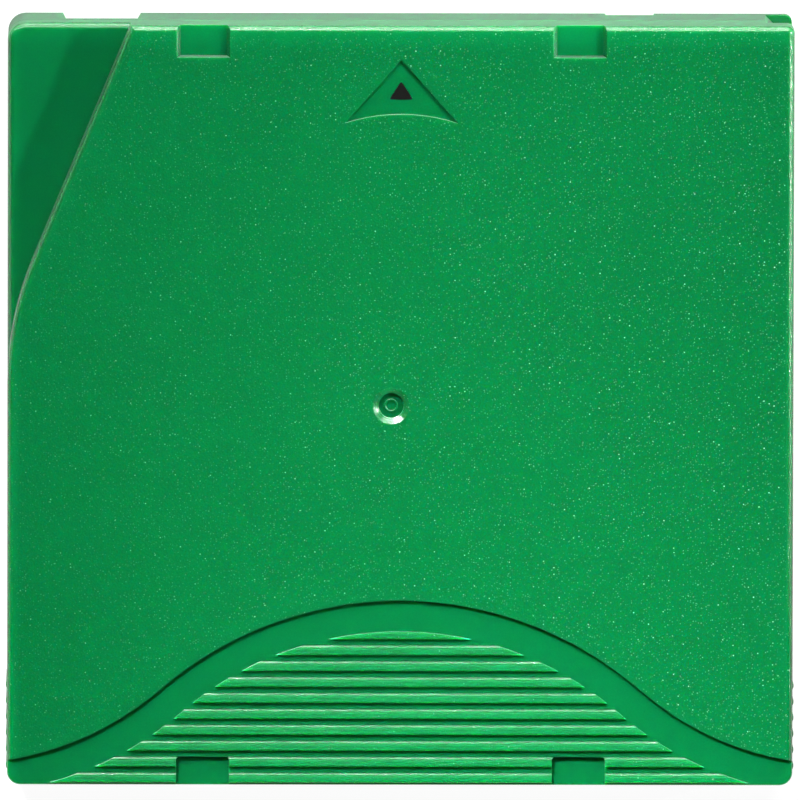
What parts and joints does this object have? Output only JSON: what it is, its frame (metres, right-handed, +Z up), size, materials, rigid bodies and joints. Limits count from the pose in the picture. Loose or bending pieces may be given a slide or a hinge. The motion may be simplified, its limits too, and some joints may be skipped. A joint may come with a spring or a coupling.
{
  "type": "data tape cartridge",
  "caption": "Flat green data tape cartridge: two-shell case with a slanted insertion guide, ribbed grip, sliding access door and a sprung, braked tape reel inside.",
  "frame": {"origin": "centre of the case's outline on the plane that the lower shell rests on", "axes": "+Z up through the upper shell, +Y the way the cartridge is pushed into a drive, +X to the right seen from above with the insertion edge away from the viewer"},
  "size_m": [0.1054, 0.102, 0.0215],
  "materials": {
    "case": "semi-gloss moulded plastic with a fine mould grain, mid green",
    "door": "moulded plastic, green as the case",
    "tab": "moulded plastic, red, slightly rough",
    "hub": "moulded natural white plastic",
    "white_plastic": "low-friction white plastic, satin",
    "black_plastic": "black moulded plastic, satin",
    "tape": "smooth dark brown magnetic tape",
    "pin_steel": "turned and polished stainless steel",
    "spring_steel": "drawn spring wire",
    "washer": "stamped magnetic stainless steel sheet",
    "screw": "zinc-plated steel",
    "board": "glass-fibre circuit board with solder mask"
  },
  "bodies": {
    "case": {"upper_shell": "case", "lower_shell": "case", "case_screw_1": "screw", "case_screw_2": "screw", "case_screw_3": "screw", "case_screw_4": "screw", "leader_pin": "pin_steel", "pin_clip_lower": "spring_steel", "pin_clip_upper": "spring_steel", "tape_clip": "black_plastic", "tape_leader": "tape", "memory_board": "board", "memory_chip": "black_plastic", "door_spring": "spring_steel", "brake_spring": "spring_steel"},
    "door": {"access_door": "door"},
    "tab": {"write_protect_tab": "tab"},
    "reel": {"reel_hub": "hub", "clutch_washer": "washer", "upper_flange": "hub", "tape_pack": "tape"},
    "release": {"release_plate": "white_plastic"},
    "brake": {"brake_button": "white_plastic"}
  },
  "joints": [
    {"name": "door_slide", "type": "slide", "parent": "case", "child": "door", "axis": [0, -1, 0], "range_m": [0, 0.02], "stiffness_N_per_m": 20, "springref_m": -0.02, "deforming": ["door_spring"]},
    {"name": "write_protect_slide", "type": "slide", "parent": "case", "child": "tab", "axis": [1, 0, 0], "range_m": [0, 0.0035]},
    {"name": "reel_spin", "type": "hinge", "parent": "case", "child": "reel", "pos_m": [-0.00125, 0, 0], "axis": [0, 0, 1], "continuous": true},
    {"name": "brake_slide", "type": "slide", "parent": "case", "child": "brake", "axis": [0, 0, 1], "range_m": [0, 0.0015], "stiffness_N_per_m": 300, "springref_m": -0.006, "deforming": ["brake_spring"]},
    {"name": "release_slide", "type": "slide", "parent": "reel", "child": "release", "axis": [0, 0, 1], "range_m": [0, 0.0015]}
  ],
  "couplings": [
    {"joint": "release_slide", "follows": "brake_slide", "ratio": 1}
  ]
}
